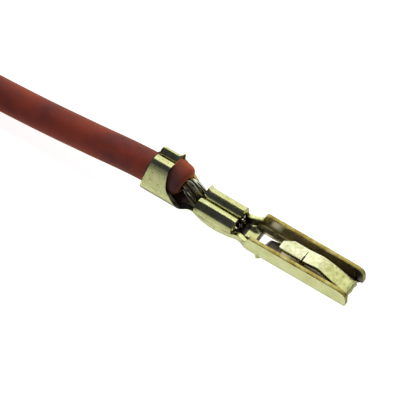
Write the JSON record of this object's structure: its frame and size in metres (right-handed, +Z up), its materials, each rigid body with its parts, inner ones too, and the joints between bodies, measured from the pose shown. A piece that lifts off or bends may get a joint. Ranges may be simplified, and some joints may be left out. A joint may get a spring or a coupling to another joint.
{
  "type": "pre-crimped wire lead",
  "caption": "Stranded wire lead with a folded sheet socket terminal crimped on one end, the other end cut plain, for snapping into a connector housing.",
  "frame": {"origin": "under the middle of the terminal, on the surface that the lead lies on", "axes": "+X along the terminal towards its mating end, +Z up from the resting surface, +Y across the terminal"},
  "size_m": [0.0386, 0.0226, 0.0028],
  "materials": {
    "plated_sheet": "thin pale plating over bare cut edges",
    "insulation": "satin soft plastic",
    "conductor": "tinned",
    "tie": "satin"
  },
  "bodies": {
    "root": {"crimp_terminal": "plated_sheet", "jacket_end": "insulation", "strand_1": "conductor", "strand_2": "conductor", "strand_3": "conductor", "strand_4": "conductor", "strand_5": "conductor", "strand_6": "conductor", "strand_7": "conductor", "lead_wire": "insulation", "wire_coil": "insulation", "coil_tie": "tie"}
  },
  "joints": []
}
